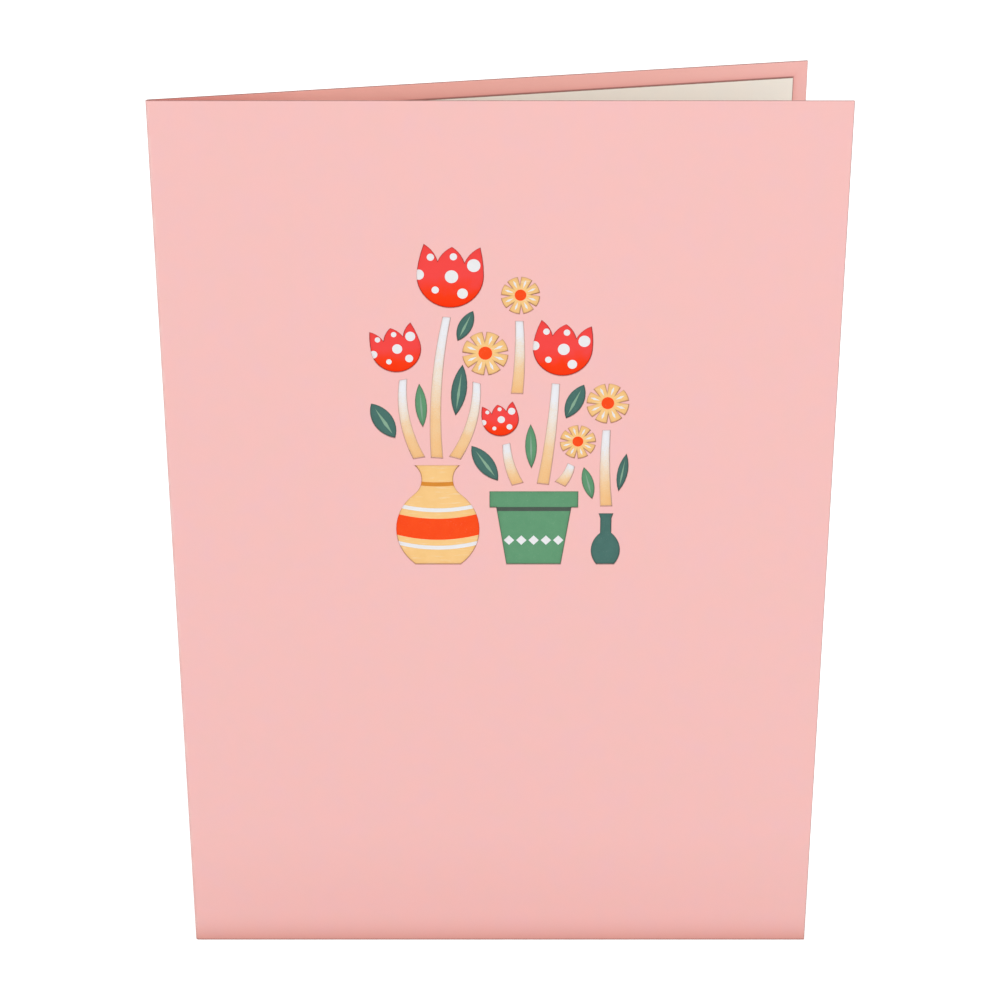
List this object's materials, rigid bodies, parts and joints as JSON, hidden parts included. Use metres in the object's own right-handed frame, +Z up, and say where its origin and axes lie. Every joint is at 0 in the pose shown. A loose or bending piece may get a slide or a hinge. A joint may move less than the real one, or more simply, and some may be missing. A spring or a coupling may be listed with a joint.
{
  "type": "greeting card",
  "caption": "Folded greeting card standing partly open, with die-cut windows in the front over a printed liner of flowers in vessels.",
  "frame": {"origin": "middle of the card's box, on the surface that it stands on", "axes": "+Z up the card's height; -Y out of the front panel; the fold is at -X and the open edge at +X"},
  "size_m": [0.127, 0.0334, 0.1778],
  "materials": {
    "cover": "uncoated pink card, matt",
    "liner": "uncoated cream paper, matt",
    "print_red": "matt red ink",
    "print_ochre": "matt ochre ink",
    "print_dark_green": "matt dark green ink",
    "print_mid_green": "matt green ink",
    "print_cream": "matt cream ink",
    "print_white": "matt white ink",
    "print_orange": "matt orange ink",
    "print_deep_ochre": "matt deep ochre ink",
    "print_shade": "matt grey-green ink",
    "print_vein": "matt pale green ink"
  },
  "bodies": {
    "root": {"cover": "cover", "liner": "liner", "print_red": "print_red", "print_ochre": "print_ochre", "print_dark_green": "print_dark_green", "print_mid_green": "print_mid_green", "print_cream": "print_cream", "print_white": "print_white", "print_orange": "print_orange", "print_deep_ochre": "print_deep_ochre", "print_shade": "print_shade", "print_vein": "print_vein"}
  },
  "joints": []
}
